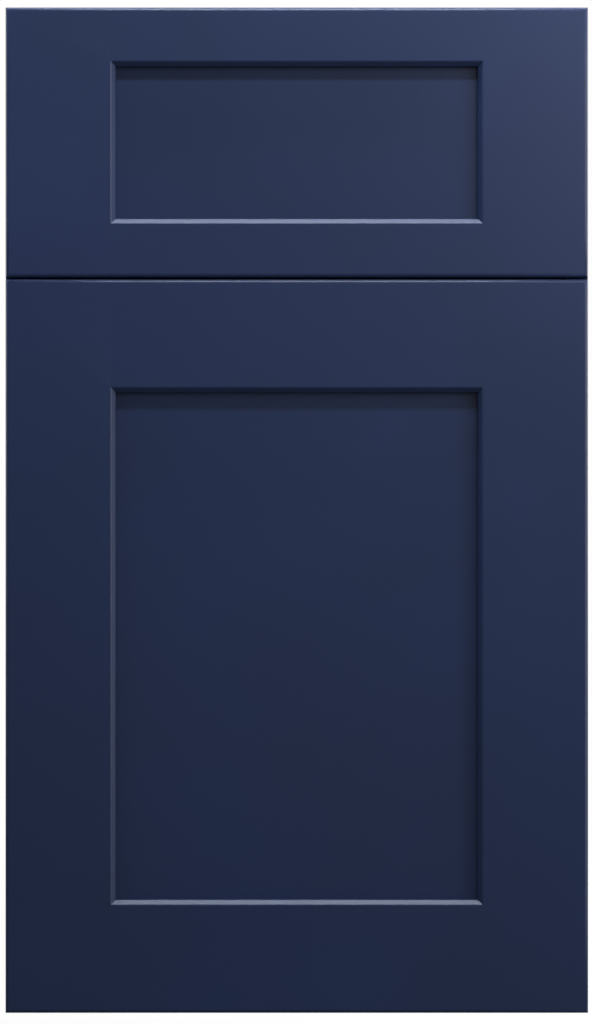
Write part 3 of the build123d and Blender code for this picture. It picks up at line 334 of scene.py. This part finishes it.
def roundEdges(piece, isChosen, width, steps, clamp):
    # bevels the edges that isChosen picks
    onlyThis(piece)
    bpy.ops.object.mode_set(mode="EDIT")
    bpy.ops.mesh.select_mode(type="EDGE")
    bpy.ops.mesh.select_all(action="DESELECT")
    mesh = bmesh.from_edit_mesh(piece.data)
    for edge in mesh.edges:
        edge.select_set(isChosen(edge))
    bmesh.update_edit_mesh(piece.data)
    bpy.ops.mesh.bevel(offset=width, segments=steps, clamp_overlap=clamp)
    bpy.ops.object.mode_set(mode="OBJECT")


# an edge is rounded when it is longer than shortest and turns through more than sharp
easing = {"shortest": 6 * mm, "steps": 2, "sharp": math.radians(38)}


def shadeFlats(piece):
    # rounded edges shade smoothly and flat faces stay flat
    onlyThis(piece)
    bpy.ops.object.shade_smooth_by_angle(angle=easing["sharp"])
    evened = piece.modifiers.new("evened", "WEIGHTED_NORMAL")
    evened.keep_sharp = True
    bpy.ops.object.modifier_apply(modifier=evened.name)


def ease(piece, width, isLeft=lambda place: False):
    # rounds the long sharp edges, as sanding or rolling does; an edge stays sharp if isLeft holds at both
    # its ends
    if width > 0:
        roundEdges(piece, lambda edge: edge.is_convex and edge.calc_length() > easing["shortest"]
                   and edge.calc_face_angle(0) > easing["sharp"]
                   and not all(isLeft(vertex.co) for vertex in edge.verts), width, easing["steps"], False)
    shadeFlats(piece)


def paintFaces(piece, rule):
    # rule gives the name in paint for a face, from its normal and its centre
    piece.data.materials.clear()
    used = []
    for face in piece.data.polygons:
        name = rule(face.normal, face.center)
        if name not in used:
            used.append(name)
            piece.data.materials.append(paint[name])
        face.material_index = used.index(name)


def stand(piece, name):
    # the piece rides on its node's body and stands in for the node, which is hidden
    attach(piece, nodes[name]["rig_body"])
    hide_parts(name)


def mainAxis(normal):
    return max(range(3), key=lambda i: abs(normal[i]))


def makePiece(name, width, rule, isLeft=lambda place: False):
    # a node's piece, with its edges rounded by width and its faces painted by rule
    piece = merged(name)
    ease(piece, width, isLeft)
    paintFaces(piece, rule)
    stand(piece, name)


case = {"ply": 2.0 * mm, "backPly": 1.6 * mm, "ease": 0.4 * mm, "bandEase": 0.15 * mm, "near": 0.5 * mm}


def isBanded(place):
    # the front edges, under their bands, are left as sawn
    return place.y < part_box("edge_bands")[1].y + 0.1 * mm


def plyEdgeFor(name, axis, wood, ply):
    # each board's plies are counted from its own lower face
    key = "edge_" + name
    paint[key] = makePlyEdge(key.replace("_", "Ply", 1), wood, "XYZ"[axis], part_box(name)[0][axis], ply)
    return key


def makeBoard(name, axis, face, wood, ply, width):
    # a board whose two wide faces, across the axis, are veneered and whose edges show its plies
    edge = plyEdgeFor(name, axis, wood, ply)
    makePiece(name, width, lambda normal, centre: face if mainAxis(normal) == axis else edge, isBanded)


def makeSide(name, outside):
    # lacquered on the outside only
    edge = plyEdgeFor(name, 0, maple, case["ply"])
    makePiece(name, case["ease"], lambda normal, centre: edge if mainAxis(normal) != 0 else
              "navy" if abs(centre.x - outside) < case["near"] else "mapleUp", isBanded)


def makeCase():
    makeSide("side_left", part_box("side_left")[0].x)
    makeSide("side_right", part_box("side_right")[1].x)
    for name in ("bottom_panel", "top_front_rail", "top_rear_rail", "divider_rail"):
        makeBoard(name, 2, "mapleAcross", maple, case["ply"], case["ease"])
    edge = plyEdgeFor("shelf", 2, maple, case["ply"])
    makePiece("shelf", case["ease"],  # its front is banded with veneer
              lambda normal, centre: "mapleAcross" if abs(normal.z) > 0.9 or normal.y < -0.1 else edge)
    makeBoard("back_panel", 1, "mapleUp", maple, case["backPly"], case["ease"])
    makeBoard("lower_wall_brace", 1, "birchAcross", birch, case["ply"], case["ease"])
    makePiece("edge_bands", case["bandEase"], lambda normal, centre: "navy")
    print("case boards made")


drawer = {"ease": 0.3 * mm, "bottomPly": 1.16 * mm}


def makeDrawerBox():
    # grain runs along each board, so the dovetails show end grain against long grain
    for name in ("drawer_side_left", "drawer_side_right", "drawer_well_left", "drawer_well_right"):
        makePiece(name, drawer["ease"],
                  lambda normal, centre: "mapleEnd" if mainAxis(normal) == 1 else "mapleDeep")
    for name in ("drawer_box_front", "drawer_back_left", "drawer_back_right", "drawer_well_front"):
        makePiece(name, drawer["ease"],
                  lambda normal, centre: "mapleEnd" if mainAxis(normal) == 0 else "mapleAcross")
    makeBoard("drawer_bottom", 2, "birchAcross", birch, drawer["bottomPly"], 0.0)
    print("drawer box made")


front = {"arris": 0.7 * mm, "steps": 3, "near": 0.02 * mm}


def makeFrontMember(name, cuts, isArris):
    # a stile or rail: the edge between its face and its inner slope is eased, but only beside the panel,
    # so the joints stay tight under the lacquer
    piece = merged(name)
    bpy.ops.object.mode_set(mode="EDIT")
    for level in cuts:
        bpy.ops.mesh.select_all(action="SELECT")
        bpy.ops.mesh.bisect(plane_co=(0, 0, level), plane_no=(0, 0, 1))
    bpy.ops.object.mode_set(mode="OBJECT")
    roundEdges(piece, lambda edge: all(isArris(vertex.co) for vertex in edge.verts), front["arris"],
               front["steps"], True)
    shadeFlats(piece)
    paintFaces(piece, lambda normal, centre: "navy")
    stand(piece, name)


def makeFront(prefix, stiles):
    # each member's slope starts where its face ends, a little way back from the panel's opening
    near = front["near"]
    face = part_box(prefix + "_top_rail")[0].y
    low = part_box(prefix + "_bottom_rail")[1].z
    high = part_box(prefix + "_top_rail")[0].z

    def faceEnd(name, axis, opening):
        onFace = [vertex.co[axis] for vertex in nodes[name].data.vertices if abs(vertex.co.y - face) < near]
        return min(onFace, key=lambda value: abs(value - opening))

    for name in stiles:
        lo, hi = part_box(name)
        opening = lo.x if lo.x > 0 else hi.x
        end = faceEnd(name, 0, opening)
        bottom, top = low - abs(end - opening), high + abs(end - opening)
        makeFrontMember(name, [bottom, top], lambda co: abs(co.x - end) < near and abs(co.y - face) < near
                        and bottom - near < co.z < top + near)
    for name, opening in ((prefix + "_bottom_rail", low), (prefix + "_top_rail", high)):
        end = faceEnd(name, 2, opening)
        makeFrontMember(name, [], lambda co: abs(co.z - end) < near and abs(co.y - face) < near)
    makePiece(prefix + "_panel", 0.0, lambda normal, centre: "navy")
    print(prefix, "made")


# each node's finish and how far its long edges are rounded
hardware = {
    "cam_bolts": ("zinc", 0.15 * mm),
    "cam_locks": ("cast", 0.2 * mm),
    "dowels": ("beechPin", 0.0),
    "shelf_pins": ("nickel", 0.15 * mm),
    "wall_rail": ("zinc", 0.4 * mm),
    "hanger_hooks": ("zinc", 0.4 * mm),
    "hanger_left": ("nylon", 0.5 * mm),
    "hanger_right": ("nylon", 0.5 * mm),
    "hanger_screws": ("zinc", 0.15 * mm),
    "slide_outer_left": ("zinc", 0.25 * mm),
    "slide_outer_right": ("zinc", 0.25 * mm),
    "slide_middle_left": ("zinc", 0.25 * mm),
    "slide_middle_right": ("zinc", 0.25 * mm),
    "slide_inner_left": ("zinc", 0.25 * mm),
    "slide_inner_right": ("zinc", 0.25 * mm),
    "slide_outer_screws": ("zinc", 0.15 * mm),
    "slide_inner_screws": ("zinc", 0.15 * mm),
    "drawer_front_screws": ("zinc", 0.15 * mm),
    "hinge_upper_arm": ("nickel", 0.3 * mm),
    "hinge_lower_arm": ("nickel", 0.3 * mm),
    "hinge_upper_plate": ("nickel", 0.3 * mm),
    "hinge_lower_plate": ("nickel", 0.3 * mm),
    "hinge_upper_cup": ("nickel", 0.2 * mm),
    "hinge_lower_cup": ("nickel", 0.2 * mm),
    "hinge_plate_screws": ("nickel", 0.15 * mm),
    "hinge_cup_screws": ("nickel", 0.15 * mm),
    "hinge_pins": ("zinc", 0.1 * mm),
    "drawer_bumpers": ("clearRubber", 0.0),
    "door_bumpers": ("clearRubber", 0.0),
}


cages = {"roundness": 1.1, "places": 6}


def makeCages(name):
    # the balls, each as deep as it is wide and high, are polished; the strips that space them are plated
    def rounded(place):
        return tuple(round(value, cages["places"]) for value in place)

    piece = merged(name)
    shadeFlats(piece)
    mesh = bmesh.new()
    mesh.from_mesh(piece.data)
    left, balls = set(mesh.faces), set()
    while left:
        island = [left.pop()]
        for face in island:
            beside = {other for edge in face.edges for other in edge.link_faces if other in left}
            left -= beside
            island.extend(beside)
        points = [vertex.co for face in island for vertex in face.verts]
        sizes = [max(p[i] for p in points) - min(p[i] for p in points) for i in range(3)]
        if max(sizes) < cages["roundness"] * min(sizes):
            balls.update(rounded(face.calc_center_median()) for face in island)
    mesh.free()
    paintFaces(piece, lambda normal, centre: "ballSteel" if rounded(centre) in balls else "zinc")
    stand(piece, name)


def makeHardware():
    for name, (finish, width) in hardware.items():
        makePiece(name, width, lambda normal, centre: finish)
    for name in ("slide_outer_cages", "slide_inner_cages"):
        makeCages(name)
    print("hardware made")


makeCase()
makeDrawerBox()
makeFront("drawer_front", ("drawer_front_left_stile", "drawer_front_right_stile"))
makeFront("door", ("door_hinge_stile", "door_free_stile"))
makeHardware()


cameraFacts = {"distance": 2.4, "aside": -0.55 * mm, "below": 1.25 * mm, "viewHeight": 707.7 * mm,
               "sensor": 36.0}


def makeCamera():
    # square on to the middle of the two fronts
    drawerFront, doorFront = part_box("drawer_front_left_stile"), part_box("door_free_stile")
    middle = (drawerFront[1].z + doorFront[0].z) / 2
    back = drawerFront[0].y - cameraFacts["distance"]
    bpy.ops.object.camera_add(location=(cameraFacts["aside"], back, middle - cameraFacts["below"]),
                              rotation=(math.pi / 2, 0, 0))
    camera = bpy.context.object
    camera.data.sensor_width = cameraFacts["sensor"]
    camera.data.lens = cameraFacts["sensor"] * cameraFacts["distance"] / cameraFacts["viewHeight"]
    bpy.context.scene.camera = camera


lightFacts = {  # places and sizes in metres, power in watts
    # the front is lit from the right and above; the strips just over it only catch edges that face up
    "topStrip": {"from": (0.05, -1.10, 0.87), "aim": (0.0, -0.457, -0.25), "size": (0.7, 0.12), "power": 9.0},
    "edgeStrip": {"from": (0.0, -0.53, 0.90), "aim": (0.0, -0.53, 0.0), "size": (1.0, 0.14), "power": 5.1,
                  "colour": "#E2EEFF"},
    "closeStrip": {"from": (0.0, -0.50, 0.45), "aim": (0.0, -0.50, 0.0), "size": (0.9, 0.08), "power": 2.9,
                   "colour": "#E2EEFF"},
    "roomWindow": {"from": (0.3, -3.3, 0.0), "aim": (0.0, -0.457, -0.3), "size": (1.6, 2.0), "power": 1.8},
    "highKey": {"from": (0.5, -1.6, 0.3), "aim": (0.1, -0.457, 0.1), "size": (0.6, 0.6), "power": 0.5},
    "nearKey": {"from": (0.55, -1.1, 0.2), "aim": (0.2, -0.457, 0.0), "size": (0.5, 0.5), "power": 1.0},
    "rightWall": {"from": (1.7, -1.5, -0.2), "aim": (0.0, -0.5, -0.3), "size": (0.6, 1.4), "power": 10.2},
    "rightHigh": {"from": (1.2, -1.7, 0.1), "aim": (0.0, -0.457, -0.2), "size": (0.5, 1.0), "power": 1.5},
    "rightEdge": {"from": (1.3, -0.62, -0.3), "aim": (0.0, -0.5, -0.3), "size": (0.3, 1.2), "power": 1.2},
    "leftWall": {"from": (-1.7, -1.6, 0.2), "aim": (0.0, -0.5, -0.3), "size": (0.6, 1.4), "power": 2.5},
    # these stand behind the front and light the top, the sides and the back
    "topRear": {"from": (0.0, -0.10, 1.1), "aim": (0.0, -0.10, 0.0), "size": (1.0, 0.6), "power": 9.0},
    "leftRear": {"from": (-2.0, 0.5, 0.4), "aim": (-0.2, -0.1, -0.3), "size": (1.2, 1.6), "power": 26.0},
    "rightRear": {"from": (2.0, 0.4, 0.4), "aim": (0.2, -0.1, -0.3), "size": (1.2, 1.6), "power": 34.0},
    "rear": {"from": (0.6, 2.2, 0.5), "aim": (0.0, 0.0, -0.3), "size": (1.8, 1.8), "power": 36.0},
}


def makeLights():
    # each lamp faces its aim and lights without being seen
    for name, facts in lightFacts.items():
        direction = Vector(facts["aim"]) - Vector(facts["from"])
        bpy.ops.object.light_add(type="AREA", location=facts["from"])
        lamp = bpy.context.object
        lamp.name = name + "Light"
        lamp.rotation_euler = direction.to_track_quat("-Z", "Y").to_euler()
        lamp.data.shape = "RECTANGLE"
        lamp.data.size, lamp.data.size_y = facts["size"]
        lamp.data.energy = facts["power"]
        lamp.data.color = toLinear(facts.get("colour", "#FFFFFF"))[:3]
        lamp.visible_camera = False


# measured from the front and the top of the drawer front
flagFacts = {"behind": 14 * mm, "above": 6 * mm, "height": 0.75, "width": 1.4, "colour": "#303030"}


def makeFlag():
    # a dark card on edge over the fronts keeps the strips off the top; no camera sees it
    lo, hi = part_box("drawer_front_top_rail")
    bpy.ops.mesh.primitive_grid_add(
        size=1.0, x_subdivisions=2, y_subdivisions=2, rotation=(math.pi / 2, 0, 0),
        location=(0, lo.y + flagFacts["behind"], hi.z + flagFacts["above"] + flagFacts["height"] / 2))
    flag = bpy.context.object
    flag.name = "flag"
    flag.scale = (flagFacts["width"], flagFacts["height"], 1)
    material, tree = newMaterial("blackCard")
    card = addNode(tree, "ShaderNodeBsdfDiffuse", {"Color": toLinear(flagFacts["colour"])})
    addNode(tree, "ShaderNodeOutputMaterial", {"Surface": card.outputs["BSDF"]})
    flag.data.materials.append(material)
    flag.visible_camera = False


worldFacts = {"colour": "#FFFFFF", "inGloss": 0.05, "asLight": 0.14, "seen": 1.0}


def makeWorld():
    # white where the camera looks past the cabinet, dim as light and dimmer in the gloss
    world = bpy.data.worlds.new("studio")
    bpy.context.scene.world = world
    world.use_nodes = True
    tree = world.node_tree
    tree.nodes.clear()
    path = addNode(tree, "ShaderNodeLightPath")
    dim = addNode(tree, "ShaderNodeMix",
                  {"Factor": path.outputs["Is Diffuse Ray"], "A": worldFacts["inGloss"],
                   "B": worldFacts["asLight"]}, data_type="FLOAT")
    strength = addNode(tree, "ShaderNodeMix",
                       {"Factor": path.outputs["Is Camera Ray"], "A": dim.outputs["Result"],
                        "B": worldFacts["seen"]}, data_type="FLOAT")
    sky = addNode(tree, "ShaderNodeBackground",
                  {"Color": toLinear(worldFacts["colour"]), "Strength": strength.outputs["Result"]})
    addNode(tree, "ShaderNodeOutputWorld", {"Surface": sky.outputs["Background"]})


floorFacts = {"drop": 0.80, "width": 6.0, "fadeFrom": 0.9, "fadeTo": 2.6, "pale": "#9A9A9A",
              "dull": "#5A5A5A", "lift": 0.60}


def makeFloor():
    # a pale sheet, a hanging height below the cabinet; it fades out far away and from below, and throws
    # little light back up
    bpy.ops.mesh.primitive_grid_add(size=floorFacts["width"], x_subdivisions=4, y_subdivisions=4,
                                    location=(0, 0, -floorFacts["drop"]))
    floor = bpy.context.object
    floor.name = "floor"
    material, tree = newMaterial("paleFloor")
    path = addNode(tree, "ShaderNodeLightPath")
    place = addNode(tree, "ShaderNodeTexCoord").outputs["Object"]
    away = addNode(tree, "ShaderNodeVectorMath", {0: place}, operation="LENGTH").outputs["Value"]
    fade = addNode(tree, "ShaderNodeMapRange", {"Value": away, "From Min": floorFacts["fadeFrom"],
                                                "From Max": floorFacts["fadeTo"]},
                   interpolation_type="SMOOTHSTEP").outputs["Result"]
    under = addNode(tree, "ShaderNodeNewGeometry").outputs["Backfacing"]
    hidden = addNode(tree, "ShaderNodeMath", {0: fade, 1: under}, operation="MAXIMUM").outputs["Value"]
    pale = addNode(tree, "ShaderNodeBsdfDiffuse", {"Color": toLinear(floorFacts["pale"])})
    lift = addNode(tree, "ShaderNodeEmission",
                   {"Color": toLinear("#FFFFFF"), "Strength": floorFacts["lift"]})
    seen = addNode(tree, "ShaderNodeAddShader", {0: pale.outputs["BSDF"], 1: lift.outputs["Emission"]})
    gone = addNode(tree, "ShaderNodeBsdfTransparent")
    faded = addNode(tree, "ShaderNodeMixShader",
                    {0: hidden, 1: seen.outputs["Shader"], 2: gone.outputs["BSDF"]})
    dull = addNode(tree, "ShaderNodeBsdfDiffuse", {"Color": toLinear(floorFacts["dull"])})
    both = addNode(tree, "ShaderNodeMixShader", {0: path.outputs["Is Camera Ray"], 1: dull.outputs["BSDF"],
                                                 2: faded.outputs["Shader"]})
    addNode(tree, "ShaderNodeOutputMaterial", {"Surface": both.outputs["Shader"]})
    floor.data.materials.append(material)


bpy.ops.object.select_all(action="DESELECT")
makeCamera()
makeLights()
makeFlag()
makeWorld()
makeFloor()
bpy.context.scene.view_settings.view_transform = "Standard"
print("studio ready")
